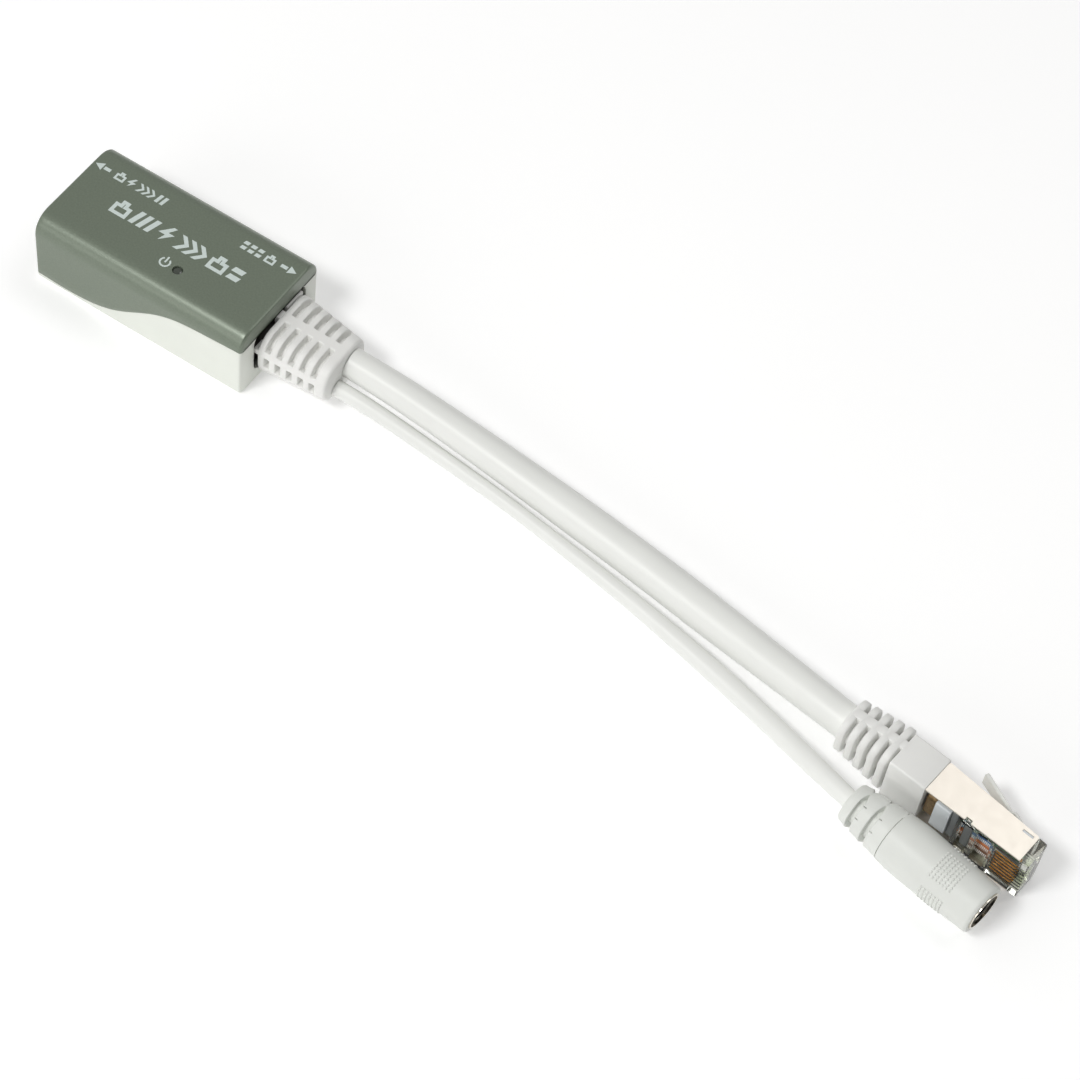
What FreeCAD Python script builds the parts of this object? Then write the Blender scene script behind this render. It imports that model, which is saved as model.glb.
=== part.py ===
import FreeCAD, Part
import math
import os

os.makedirs("parts", exist_ok=True)

V = FreeCAD.Vector

# Case: overall size, walls and radii, in mm.
CASE_L = 50.8
CASE_W = 26.3
CASE_H = 17.3
WALL = 1.6
FLOOR = 1.2
LIP = 0.75
TOP_EDGE_R = 4.0
CORNER_R = 1.0
FOOT_R = 0.7
SEAM_GAP = 0.12
# Parting line of the long sides, as x and z.
SEAM = [
    (-26.0, 1.5), (-12.5, 1.55), (-9.5, 2.2), (-4.5, 4.3), (0.5, 7.5),
    (5.5, 10.4), (10.5, 12.0), (15.5, 12.6), (20.5, 13.0), (26.0, 13.4),
]

# Circuit board.
BOARD_Z = 3.4
BOARD_T = 1.0
BOARD_X0 = -23.0
BOARD_X1 = 20.6
BOARD_HALF_W = 9.7

# Socket for a data plug, at the -X end.
JACK_X0 = -25.2
JACK_X1 = -7.2
JACK_HALF_W = 8.0
JACK_Z1 = 15.1
JACK_SHEET = 0.3
PORT_HALF_W = 5.95
PORT_Z0 = 6.5
PORT_Z1 = 13.3
PORT_DEPTH = 13.0
LATCH_SLOT_HALF_W = 3.15
CONTACT_PITCH = 1.016
CONTACT_COUNT = 8

# Status light.
LIGHT_X = 4.9
LIGHT_Y = -6.0
LIGHT_R = 1.0

# Strain relief of the two leads, at the +X end.
BOOT_X0 = 26.0
BOOT_X1 = 41.8
BOOT_NEAR = (-8.3, 9.2, 2.8, 12.8)
BOOT_FAR = (-7.8, 7.0, 2.6, 12.6)
BOOT_CORNER = 4.4
BOOT_LOW_CORNER = 2.6
SLOT_X0 = 28.05
WEB_Z = 8.5
WEB_H = 1.7
FOOT_Z = 5.7
RING_PITCH = 2.67
SLOT_W = 1.3
SLOT_DEPTH = 1.5
SLOT_COUNT = 5
WEB_W = 2.0

# Leads. Each route is the centreline's corner points.
DATA_LEAD_D = 7.0
POWER_LEAD_D = 3.6
DATA_ROUTE = [
    (41.8, 1.7, 8.0), (50.1, 1.8, 7.6), (62.1, 1.8, 6.3), (77.1, 1.4, 4.7), (95.1, 0, 3.8),
    (114.1, -2.2, 3.7), (133.1, -5.2, 4.0), (148.1, -8, 5.0), (157.6, -10, 6.0),
    (164.2, -11.2, 6.3),
]
POWER_ROUTE = [
    (41.8, -3.4, 5.2), (48.1, -3.2, 4.8), (57.1, -3.1, 3.6), (68.1, -3.4, 2.4), (82.1, -4.5, 1.95),
    (98.1, -6.7, 1.85), (116.1, -9.5, 1.85), (134.1, -13.1, 1.9), (148.1, -16.8, 2.5),
    (157.1, -19.7, 3.5), (166.1, -23, 5.0), (172.6, -25.05, 5.75),
]

# Data plug. Its own axes are x forward, y to the latch side and z up.
PLUG_AT = (183.93, -14.73, 6.3)
PLUG_YAW = -7.65
PLUG_HALF_W = 5.84
PLUG_FACE_Y = -3.95
PLUG_REAR_Y = 3.95
PLUG_FRONT_Y = 2.4
SHIELD_L = 21.4
SHIELD_T = 0.3
NOSE_X = 23.4
COLLAR_L = 8.2
COLLAR_HALF_H = 6.2
FIN_COUNT = 5
FIN_PITCH = 2.45
FIN_T = 1.6
PLUG_AXIS_Y = 0.9
LATCH_ROOT = (21.2, 1.8)
LATCH_TIP = (5.5, 8.9)
LATCH_T = 0.85
BLADE_T = 0.48

# Power socket on the thin lead. Its own x axis runs from the lead to the mouth.
SOCKET_AT = (172.6, -25.05, 5.75)
SOCKET_YAW = -10.4
SOCKET_ROLL = 36.0
BRIDGE_ROLL = 65.0
SOCKET_L = 31.4
# Outline of the moulding, as distance from the lead and radius.
SOCKET_OUTLINE = [
    (0.0, 3.9), (0.35, 4.2), (4.0, 4.75), (9.6, 5.3), (13.0, 5.6), (17.0, 5.65), (24.0, 5.45),
    (31.0, 5.2),
]
BARREL_R = 4.1
BARREL_T = 0.45
BORE_R = 2.85
PIN_R = 1.05


def rounded(points, radii, closed=True):
    """A wire through the points, with a tangent arc at each corner that has a radius."""
    pts = [V(*p) for p in points]
    count = len(pts)
    arcs = []
    for i, point in enumerate(pts):
        radius = radii[i]
        if not closed and i in (0, count - 1):
            radius = 0.0
        if radius == 0.0:
            arcs.append((point, None, point))
            continue
        into = (point - pts[i - 1]).normalize()
        out = (pts[(i + 1) % count] - point).normalize()
        half = into.getAngle(out) / 2.0
        reach = radius * math.tan(half)
        centre = point + (out - into).normalize() * (radius / math.cos(half))
        middle = centre + (point - centre).normalize() * radius
        arcs.append((point - into * reach, middle, point + out * reach))
    edges = []
    for i, (start, middle, end) in enumerate(arcs):
        if middle is not None:
            edges.append(Part.Arc(start, middle, end).toShape())
        if closed or i < count - 1:
            following = arcs[(i + 1) % count][0]
            if (following - end).Length > 1e-5:
                edges.append(Part.LineSegment(end, following).toShape())
    return Part.Wire(edges)


def prism(points, radii, along):
    """A solid: the rounded outline pushed along a vector."""
    return Part.Face(rounded(points, radii)).extrude(V(*along))


def box(x0, x1, y0, y1, z0, z1):
    return Part.makeBox(x1 - x0, y1 - y0, z1 - z0, V(x0, y0, z0))


def bar_x(x0, x1, y0, y1, z0, z1, radius):
    """A bar along x with rounded long edges."""
    outline = [(x0, y0, z0), (x0, y1, z0), (x0, y1, z1), (x0, y0, z1)]
    return prism(outline, [radius] * 4, (x1 - x0, 0, 0))


def bar_z(x0, x1, y0, y1, z0, z1, radius):
    """A bar along z with rounded upright edges."""
    outline = [(x0, y0, z0), (x1, y0, z0), (x1, y1, z0), (x0, y1, z0)]
    return prism(outline, [radius] * 4, (0, 0, z1 - z0))


def rod(x, y, z0, z1, radius):
    return Part.makeCylinder(radius, z1 - z0, V(x, y, z0))


def rod_x(x0, x1, y, z, radius):
    return Part.makeCylinder(radius, x1 - x0, V(x0, y, z), V(1, 0, 0))


def fuse(shapes):
    return shapes[0].multiFuse(shapes[1:]).removeSplitter()


def write(shape, name):
    for solid in shape.Solids:
        if not solid.isValid():
            print("NOT VALID", name)
    Part.Compound(shape.Solids).exportStep("parts/" + name + ".step")
    size = shape.BoundBox
    print(name, len(shape.Solids), "solid(s)", round(shape.Volume, 2), "mm3",
          [round(v, 2) for v in (size.XMin, size.XMax, size.YMin, size.YMax, size.ZMin, size.ZMax)])


def route_wire(points, name):
    """Straight runs joined by tangent arcs, as wide as the runs allow."""
    pts = [V(*p) for p in points]
    radii = [0.0]
    for before, point, after in zip(pts, pts[1:], pts[2:]):
        into = point - before
        out = after - point
        half = into.getAngle(out) / 2.0
        radii.append(0.45 * min(into.Length, out.Length) / math.tan(half))
    radii.append(0.0)
    print(name, "arc radii", [round(r, 1) for r in radii[1:-1]])
    return rounded(points, radii, closed=False)


def tube(points, diameter, name):
    path = route_wire(points, name)
    start = V(*points[0])
    heading = V(*points[1]) - start
    section = Part.Wire(Part.makeCircle(diameter / 2.0, start, heading))
    solid = path.makePipeShell([section], True, True)
    expected = math.pi * diameter ** 2 / 4.0 * path.Length
    print(name, "length", round(path.Length, 1), "volume over section x length",
          round(solid.Volume / expected, 4))
    return solid


def case_body(inset):
    """The outside of the closed case, made smaller all round by inset."""
    x = CASE_L / 2.0 - inset
    y = CASE_W / 2.0 - inset
    z0 = min(inset, FLOOR)
    z1 = CASE_H - inset
    side = max(TOP_EDGE_R - inset, 0.4)
    foot = max(FOOT_R - inset, 0.2)
    upright = max(CORNER_R - inset, 0.2)
    along = prism([(-x, -y, z0), (-x, y, z0), (-x, y, z1), (-x, -y, z1)],
                  [foot, foot, side, side], (2 * x, 0, 0))
    plan = bar_z(-x, x, -y, y, z0, z1, upright)
    ends = prism([(-x, -y, z0), (x, -y, z0), (x, -y, z1), (-x, -y, z1)],
                 [foot, foot, foot, foot], (0, 2 * y, 0))
    return along.common(plan).common(ends)


def below_seam(lift):
    """The space under the parting line, lifted by a distance."""
    points = [V(x, -20, z + lift) for x, z in SEAM]
    curve = Part.BSplineCurve()
    curve.interpolate(points)
    last = points[-1]
    first = points[0]
    edges = [curve.toShape()]
    edges.append(Part.LineSegment(last, V(last.x, -20, -5)).toShape())
    edges.append(Part.LineSegment(V(last.x, -20, -5), V(first.x, -20, -5)).toShape())
    edges.append(Part.LineSegment(V(first.x, -20, -5), first).toShape())
    return Part.Face(Part.Wire(edges)).extrude(V(0, 40, 0))


def lead_opening():
    y0, y1, z0, z1 = BOOT_NEAR
    return bar_x(20.0, 30.0, y0 - 0.35, y1 - 0.15, z0 - 0.2, z1 + 0.9, 2.6)


def port_opening():
    return box(-30.0, -20.0, -JACK_HALF_W - 0.15, JACK_HALF_W + 0.15, 4.2, JACK_Z1 + 0.15)


def make_case():
    shell = case_body(0.0).cut(case_body(WALL))
    inner_layer = case_body(WALL - LIP).cut(case_body(WALL))
    outer_layer = case_body(0.0).cut(case_body(WALL - LIP - 0.05))
    lower = below_seam(0.0)
    lip = inner_layer.common(below_seam(1.1))
    bottom = shell.common(lower).fuse(lip)
    posts = []
    for x in (-19.0, 17.0):
        for y in (-8.2, 8.2):
            posts.append(rod(x, y, FLOOR - 0.1, BOARD_Z, 1.4))
    for x, y in ((-3.0, 0.0), (9.0, 0.0)):
        posts.append(box(x - 0.5, x + 0.5, -6.0, 6.0, FLOOR - 0.1, BOARD_Z))
    for y in (-1, 1):
        posts.append(box(20.9, 21.7, y * 11.1 - 0.5, y * 11.1 + 0.5, FLOOR - 0.1, 12.0))
    for post in posts:
        bottom = bottom.fuse(post)
    bottom = bottom.removeSplitter().cut(lead_opening()).cut(port_opening())
    above = case_body(0.0).cut(below_seam(SEAM_GAP))
    skirt = outer_layer.common(above)
    top = skirt.fuse(shell.cut(below_seam(1.25)))
    ribs = []
    for x in (-4.0, 10.0):
        ribs.append(box(x - 0.4, x + 0.4, -8.0, 8.0, CASE_H - WALL - 0.6, CASE_H - WALL + 0.1))
    top = fuse([top] + ribs).cut(lead_opening()).cut(port_opening())
    top = top.cut(rod(LIGHT_X, LIGHT_Y, 14.0, 18.0, LIGHT_R + 0.06))
    return top, bottom


def make_board():
    board = box(BOARD_X0, BOARD_X1, -BOARD_HALF_W, BOARD_HALF_W, BOARD_Z, BOARD_Z + BOARD_T)
    for x in (-19.0, 17.0):
        for y in (-8.2, 8.2):
            board = board.cut(rod(x, y, BOARD_Z - 1, BOARD_Z + 2, 0.6))
    return board


def make_jack_shield():
    z0 = BOARD_Z + BOARD_T
    inner = JACK_HALF_W - JACK_SHEET
    shell = bar_x(JACK_X0, JACK_X1, -JACK_HALF_W, JACK_HALF_W, z0, JACK_Z1, 0.5)
    shell = shell.cut(box(JACK_X0 + JACK_SHEET, JACK_X1 - JACK_SHEET, -inner, inner, z0 - 1, JACK_Z1 - JACK_SHEET))
    mouth = [(JACK_X0 - 1, -6.5, 4.95), (JACK_X0 - 1, 6.5, 4.95), (JACK_X0 - 1, 6.5, 13.75), (JACK_X0 - 1, -6.5, 13.75)]
    shell = shell.cut(prism(mouth, [0.4] * 4, (3, 0, 0)))
    for side in (-1, 1):
        y = side * (JACK_HALF_W - JACK_SHEET / 2.0)
        slot = box(-20.5, -13.5, y - 0.5, y + 0.5, 8.0, 11.0)
        tongue = box(-20.5, -14.2, y - 0.5, y + 0.5, 8.5, 10.5)
        shell = shell.cut(slot.cut(tongue))
    return shell


def make_jack_housing():
    z0 = BOARD_Z + BOARD_T + 0.02
    x0 = JACK_X0 + 0.35
    outer = box(x0, JACK_X1 - 0.35, -7.6, 7.6, z0, JACK_Z1 - 0.35)
    port = box(x0 - 1, x0 + PORT_DEPTH, -PORT_HALF_W, PORT_HALF_W, PORT_Z0, PORT_Z1)
    latch = box(x0 - 1, x0 + PORT_DEPTH, -LATCH_SLOT_HALF_W, LATCH_SLOT_HALF_W, 5.0, PORT_Z0 + 0.1)
    housing = outer.cut(port).cut(latch)
    comb = box(x0 + 2.4, JACK_X1 + 1, -4.3, 4.3, PORT_Z1 - 0.1, 14.2)
    housing = housing.cut(comb)
    back = box(x0 + PORT_DEPTH - 0.1, JACK_X1 + 1, -4.3, 4.3, 9.0, 14.2)
    pins = box(-8.9, JACK_X1 + 1, -4.3, 4.3, 4.0, 14.2)
    return housing.cut(back).cut(pins)


def make_jack_contacts():
    blades = []
    for i in range(CONTACT_COUNT):
        y = (i - (CONTACT_COUNT - 1) / 2.0) * CONTACT_PITCH
        outline = [(-11.2, y - 0.18, 13.7), (-19.6, y - 0.18, 12.75), (-12.4, y - 0.18, 9.6),
                   (-12.2, y - 0.18, 9.95), (-18.0, y - 0.18, 12.5), (-11.2, y - 0.18, 13.3)]
        blades.append(prism(outline, [0, 0.2, 0.1, 0, 0.3, 0], (0, 0.36, 0)))
    return Part.Compound(blades)


def make_jack_pins():
    pins = []
    for i in range(CONTACT_COUNT):
        y = (i - (CONTACT_COUNT - 1) / 2.0) * CONTACT_PITCH
        pins.append(box(-11.15, -8.6, y - 0.18, y + 0.18, 13.3, 13.7))
        pins.append(box(-8.6, -8.2, y - 0.18, y + 0.18, 4.42, 13.7))
    return Part.Compound([fuse(pins[k:k + 2]) for k in range(0, len(pins), 2)])


def make_magnetics():
    z = BOARD_Z + BOARD_T
    body = bar_x(-5.9, 2.7, -6.0, 6.0, z + 0.25, z + 5.0, 0.5)
    return body


def make_magnetics_pins():
    z = BOARD_Z + BOARD_T
    pins = []
    for side in (-1, 1):
        for i in range(6):
            x = -5.0 + i * 1.27 + 0.2
            foot = box(x, x + 0.4, min(side * 6.05, side * 7.4), max(side * 6.05, side * 7.4), z, z + 0.25)
            leg = box(x, x + 0.4, min(side * 6.05, side * 6.35), max(side * 6.05, side * 6.35), z, z + 2.2)
            pins.append(fuse([foot, leg]))
    return Part.Compound(pins)


def make_capacitor():
    z = BOARD_Z + BOARD_T
    can = rod(13.2, 4.9, z + 0.9, z + 8.6, 3.15)
    groove = rod(13.2, 4.9, z + 1.9, z + 2.5, 4.0).cut(rod(13.2, 4.9, z + 1.8, z + 2.6, 2.85))
    foot = bar_z(9.9, 16.5, 1.6, 8.2, z, z + 0.95, 0.7)
    return fuse([can.cut(groove), foot])


def make_choke():
    z = BOARD_Z + BOARD_T
    base = rod(13.0, -4.2, z, z + 1.1, 3.2)
    cap = rod(13.0, -4.2, z + 3.9, z + 5.0, 3.2)
    core = rod(13.0, -4.2, z + 1.0, z + 4.0, 1.6)
    return fuse([base, core, cap])


def make_choke_winding():
    z = BOARD_Z + BOARD_T
    outer = rod(13.0, -4.2, z + 1.15, z + 3.85, 2.85)
    return outer.cut(rod(13.0, -4.2, z + 1.0, z + 4.0, 1.65))


def make_small_parts():
    z = BOARD_Z + BOARD_T
    diodes = Part.Compound([bar_z(4.0, 8.3, 3.2, 5.9, z, z + 2.2, 0.3), bar_z(4.0, 8.3, 6.5, 9.2, z, z + 2.2, 0.3)])
    fuse_body = bar_z(4.2, 8.6, -1.6, 1.2, z, z + 1.9, 0.3)
    led = bar_z(LIGHT_X - 1.0, LIGHT_X + 1.0, LIGHT_Y - 0.65, LIGHT_Y + 0.65, z, z + 0.9, 0.15)
    return diodes, fuse_body, led


def make_lens():
    pipe = rod(LIGHT_X, LIGHT_Y, 5.6, CASE_H + 0.1, LIGHT_R)
    flange = rod(LIGHT_X, LIGHT_Y, 14.2, CASE_H - WALL - 0.05, LIGHT_R + 0.7)
    return fuse([pipe, flange])


def bundle(starts, ends, diameter, bend_x):
    """Short insulated wires that leave the strain relief and turn down to the board."""
    wires = []
    for start, end in zip(starts, ends):
        points = [start, (bend_x, start[1], start[2]), (end[0] + 0.3, end[1], end[2] + 2.4), end]
        path = rounded(points, [0, 0.8, 0.8, 0], closed=False)
        section = Part.Wire(Part.makeCircle(diameter / 2.0, V(*start), V(-1, 0, 0)))
        wires.append(path.makePipeShell([section], True, True))
    return Part.Compound(wires)


def make_board_wires():
    top = BOARD_Z + BOARD_T + 0.02
    starts = []
    ends = []
    for i in range(4):
        for k in range(2):
            starts.append((21.9, 0.1 + i * 1.2, 7.4 + k * 1.25))
            ends.append((19.6 - 1.15 * k, 0.1 + i * 1.2, top))
    data = bundle(starts, ends, 0.95, 20.9)
    starts = [(21.9, -4.0, 5.9), (21.9, -2.5, 5.9)]
    ends = [(18.9, -4.0, top), (18.9, -2.5, top)]
    power = []
    for start, end in zip(starts, ends):
        path = rounded([start, (18.9, start[1], start[2]), end], [0, 0.9, 0], closed=False)
        section = Part.Wire(Part.makeCircle(0.65, V(*start), V(-1, 0, 0)))
        power.append(path.makePipeShell([section], True, True))
    return data, Part.Compound(power)


def boot_section(x, inset):
    share = (x - BOOT_X0) / (BOOT_X1 - BOOT_X0)
    y0, y1, z0, z1 = [a + (b - a) * share for a, b in zip(BOOT_NEAR, BOOT_FAR)]
    points = [(x, y0 + inset, z0 + inset), (x, y1 - inset, z0 + inset),
              (x, y1 - inset, z1 - inset), (x, y0 + inset, z1 - inset)]
    low = BOOT_LOW_CORNER - 0.85 * inset
    high = BOOT_CORNER - 0.85 * inset
    return rounded(points, [low, low, high, high])


def make_strain_relief():
    """Ringed boot with a web along the top and each flank, a neck in the end wall and a flange."""
    bevel = 0.55
    outer = Part.makeLoft([boot_section(BOOT_X0, 0.0), boot_section(BOOT_X1 - bevel, 0.0)], True)
    tip = Part.makeLoft([boot_section(BOOT_X1 - bevel, 0.0), boot_section(BOOT_X1, bevel)], True)
    core = Part.makeLoft([boot_section(BOOT_X0, SLOT_DEPTH), boot_section(BOOT_X1 - bevel, SLOT_DEPTH)], True)
    slots = []
    for i in range(SLOT_COUNT):
        middle = SLOT_X0 + RING_PITCH * i
        slots.append(box(middle - SLOT_W / 2.0, middle + SLOT_W / 2.0, -15, 15, -5, 20))
    webs = [box(25, 42, -1.1, -1.1 + WEB_W, -5, 20), box(25, 42, -15, 15, WEB_Z, WEB_Z + WEB_H)]
    webs.append(box(25, 42, -15, 15, -5, FOOT_Z))
    cutters = slots[0].multiFuse(slots[1:])
    for shape in webs + [core]:
        cutters = cutters.cut(shape)
    ringed = outer.fuse(tip).cut(cutters)
    y0, y1, z0, z1 = BOOT_NEAR
    neck = bar_x(23.0, BOOT_X0 + 0.05, y0 + 1.2, y1 - 0.6, z0 + 1.2, z1 - 1.2, 2.6)
    rib = bar_x(24.7, BOOT_X0 + 0.05, y0 + 0.1, y1 - 0.6, WEB_Z, WEB_Z + 1.4, 0.2)
    flange = bar_x(21.95, 23.4, -9.8, 11.1, 1.9, 14.6, 2.0)
    return ringed.fuse(neck).fuse(rib).fuse(flange).removeSplitter()


def place(shape, at, yaw):
    moved = shape.copy()
    moved.rotate(V(0, 0, 0), V(0, 0, 1), yaw)
    moved.translate(V(*at))
    return moved


def plug_body_outline(x0, x1, grow):
    """Side outline of the plug, thick at the rear and thin at the nose."""
    slope = (PLUG_REAR_Y - PLUG_FRONT_Y) / NOSE_X
    z = -PLUG_HALF_W + grow
    return [(x0, PLUG_FACE_Y, z), (x1, PLUG_FACE_Y, z), (x1, PLUG_REAR_Y - slope * x1 - grow, z),
            (x0, PLUG_REAR_Y - slope * x0 - grow, z)]


def make_plug_shield():
    """Thin metal on both narrow faces and the latch side; the contact side is open."""
    height = 2 * PLUG_HALF_W
    outer = prism(plug_body_outline(-0.0, SHIELD_L, 0.0), [0, 0, 0.5, 0.5], (0, 0, height))
    inner = prism(plug_body_outline(-1.0, SHIELD_L + 1.0, SHIELD_T), [0, 0, 0.25, 0.25], (0, 0, height - 2 * SHIELD_T))
    shield = outer.cut(inner)
    shield = shield.cut(box(-1, SHIELD_L + 1, -6, PLUG_FACE_Y + 0.02, -PLUG_HALF_W + SHIELD_T, PLUG_HALF_W - SHIELD_T))
    for side in (-1, 1):
        z = side * (PLUG_HALF_W - SHIELD_T / 2.0)
        shield = shield.cut(box(9.0, 10.4, -4.5, -3.2, z - 0.6, z + 0.6))
        shield = shield.cut(box(18.2, 20.6, 1.35, 1.9, z - 0.6, z + 0.6))
    shield = shield.cut(box(13.5, 23.0, 0.5, 5.0, -3.25, 3.25))
    return shield


def make_plug_body():
    """Clear housing: shell, wire channel, crimp pocket, blade slots and a nose past the metal."""
    grow = SHIELD_T + 0.04
    body = prism(plug_body_outline(7.8, NOSE_X, grow), [0, 0.3, 0.4, 0], (0, 0, 2 * (PLUG_HALF_W - grow)))
    nose = prism(plug_body_outline(SHIELD_L + 0.06, NOSE_X, 0.12), [0, 0.35, 0.5, 0], (0, 0, 2 * (PLUG_HALF_W - 0.12)))
    body = fuse([body, nose])
    body = body.cut(box(7.0, 15.8, -3.0, 0.8, -4.6, 4.6))
    body = body.cut(box(8.6, 11.3, -5.0, -2.9, -4.4, 4.4))
    body = body.cut(box(12.3, 15.4, -5.0, -2.9, -4.5, 4.5))
    body = body.cut(box(14.5, 21.35, 1.6, 5.0, -3.2, 3.2))
    for i in range(CONTACT_COUNT):
        z = (i - (CONTACT_COUNT - 1) / 2.0) * CONTACT_PITCH
        body = body.cut(box(16.3, 24.0, -5.0, -0.9, z - 0.3, z + 0.3))
        body = body.cut(rod_x(15.0, 21.4, -2.0, z, 0.46))
    return body


def make_plug_contacts():
    blades = []
    for i in range(CONTACT_COUNT):
        z = (i - (CONTACT_COUNT - 1) / 2.0) * CONTACT_PITCH
        low = z - BLADE_T / 2.0
        outline = [(16.6, -3.55, low), (20.9, -3.55, low), (21.6, -2.9, low), (21.6, -2.55, low),
                   (16.6, -2.55, low)]
        blades.append(prism(outline, [0.2, 0.4, 0.3, 0.2, 0.1], (0, 0, BLADE_T)))
    return Part.Compound(blades)


def make_plug_wires():
    wires = []
    for i in range(CONTACT_COUNT):
        z = (i - (CONTACT_COUNT - 1) / 2.0) * CONTACT_PITCH
        wires.append(rod_x(8.2, 21.3, -2.0, z, 0.43))
    return Part.Compound(wires)


def make_plug_guide():
    block = box(2.7, 6.1, -3.75, 2.6, -3.9, 3.9)
    tail = box(6.1, 7.7, -3.1, 2.2, -4.3, 4.3)
    rear = box(0.4, 2.7, -2.6, 2.4, -3.4, 3.4)
    guide = fuse([block, tail, rear])
    return guide.cut(box(5.0, 9.0, -2.6, -1.4, -4.0, 4.0))


def make_plug_boot():
    """Finned tail and square collar behind the data plug."""
    fins = []
    for i in range(FIN_COUNT):
        x = -COLLAR_L - 1.35 - FIN_PITCH * (FIN_COUNT - 1 - i)
        half_w = 4.5 + 0.16 * i
        half_h = 5.1 + 0.24 * i
        y = PLUG_AXIS_Y
        fins.append(bar_x(x - FIN_T / 2.0, x + FIN_T / 2.0, y - half_w, y + half_w, -half_h, half_h, 2.7))
    rear = -COLLAR_L - 1.35 - FIN_PITCH * (FIN_COUNT - 1)
    core = Part.makeCone(3.85, 3.95, -COLLAR_L + 0.5 - rear, V(rear, PLUG_AXIS_Y, 0), V(1, 0, 0))
    crest = box(rear, -COLLAR_L + 0.4, PLUG_AXIS_Y - 0.9, PLUG_AXIS_Y + 0.9, -4.95, 4.95)
    collar = bar_x(-COLLAR_L, 0.0, -4.15, 4.3, -COLLAR_HALF_H, COLLAR_HALF_H, 0.45)
    boot = core.fuse(collar).fuse(crest)
    for fin in fins:
        boot = boot.fuse(fin)
    return boot.removeSplitter()


def make_plug_latch():
    """Lever that springs away from the plug's back, wide at its root and narrow at its tail."""
    rx, ry = LATCH_ROOT
    tx, ty = LATCH_TIP
    length = math.hypot(tx - rx, ty - ry)
    nx = (ty - ry) / length
    ny = -(tx - rx) / length
    outline = [(rx, ry, -3.0), (tx, ty, -3.0), (tx + nx * LATCH_T, ty + ny * LATCH_T, -3.0),
               (rx + nx * LATCH_T, ry + ny * LATCH_T, -3.0)]
    plate = prism(outline, [0.2, 0.3, 0.3, 0.2], (0, 0, 6.0))
    for side in (-1, 1):
        cut = box(tx - 3, rx - 7.6, 0, 12, min(side * 1.65, side * 5), max(side * 1.65, side * 5))
        plate = plate.cut(cut)
    pad = box(tx + 0.3, tx + 1.5, ty - 0.9, ty + 0.6, -1.6, 1.6)
    return fuse([plate, pad])


def make_socket_body():
    """Round moulding of the inline power socket, slotted behind and dotted with grips in front."""
    outline = [V(x, r, 0) for x, r in SOCKET_OUTLINE]
    curve = Part.BSplineCurve()
    curve.interpolate(outline[1:])
    end = outline[-1]
    edges = [Part.LineSegment(V(0, 0, 0), outline[0]).toShape(), Part.LineSegment(outline[0], outline[1]).toShape()]
    edges.append(curve.toShape())
    edges.append(Part.LineSegment(end, V(SOCKET_L, end.y - 0.35, 0)).toShape())
    edges.append(Part.LineSegment(V(SOCKET_L, end.y - 0.35, 0), V(SOCKET_L, 0, 0)).toShape())
    edges.append(Part.LineSegment(V(SOCKET_L, 0, 0), V(0, 0, 0)).toShape())
    body = Part.Face(Part.Wire(edges)).revolve(V(0, 0, 0), V(1, 0, 0), 360)
    body = body.cut(rod_x(13.0, 40.0, 0, 0, BARREL_R + 0.02))
    for middle, floor in ((2.6, 3.45), (6.3, 3.95)):
        slot = rod_x(middle - 0.42, middle + 0.42, 0, 0, 8.0)
        slot = slot.cut(rod_x(middle - 1.0, middle + 1.0, 0, 0, floor))
        bridge = box(middle - 1.0, middle + 1.0, -9.0, 9.0, -0.8, 0.8)
        bridge.rotate(V(0, 0, 0), V(1, 0, 0), BRIDGE_ROLL)
        body = body.cut(slot.cut(bridge))
        for side in (-1, 1):
            for y in (-1.45, 1.45):
                nick = box(middle + 0.4, middle + 1.1, y - 0.15, y + 0.15, side * 5.3 - 1.3, side * 5.3 + 1.3)
                nick.rotate(V(0, 0, 0), V(1, 0, 0), SOCKET_ROLL)
                body = body.cut(nick)
    groove = rod_x(9.9, 10.2, 0, 0, 7.0).cut(rod_x(9.0, 11.0, 0, 0, 5.0))
    return body.cut(groove)


def make_socket_inside():
    front = SOCKET_L
    barrel = rod_x(18.0, front + 0.25, 0, 0, BARREL_R).cut(rod_x(17.0, front + 1, 0, 0, BARREL_R - BARREL_T))
    insulator = rod_x(14.5, front - 0.4, 0, 0, BARREL_R - BARREL_T - 0.02)
    insulator = insulator.cut(rod_x(21.0, front + 1, 0, 0, BORE_R))
    insulator = insulator.cut(rod_x(13.0, 22.0, 0, 0, PIN_R))
    insulator = insulator.cut(box(20.9, front + 1, -0.95, 0.95, 2.0, 3.75))
    pin = fuse([rod_x(13.2, front - 1.7, 0, 0, PIN_R - 0.01),
                Part.makeSphere(PIN_R - 0.01, V(front - 1.7, 0, 0))])
    pin = pin.cut(rod_x(front - 4.0, front + 1, 0, 0, 0.4))
    leaf = [(21.3, -0.75, 2.9), (24.5, -0.75, 2.0), (29.5, -0.75, 2.7), (29.5, -0.75, 2.95), (24.5, -0.75, 2.25),
            (21.3, -0.75, 3.15)]
    spring = prism(leaf, [0, 0.6, 0, 0, 0.6, 0], (0, 1.5, 0))
    tabs = Part.Compound([box(13.4, 14.4, -2.9, -1.5, -0.6, 0.6), box(13.4, 14.4, 1.5, 2.9, -0.6, 0.6)])
    return barrel, insulator, pin, spring, tabs


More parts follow.
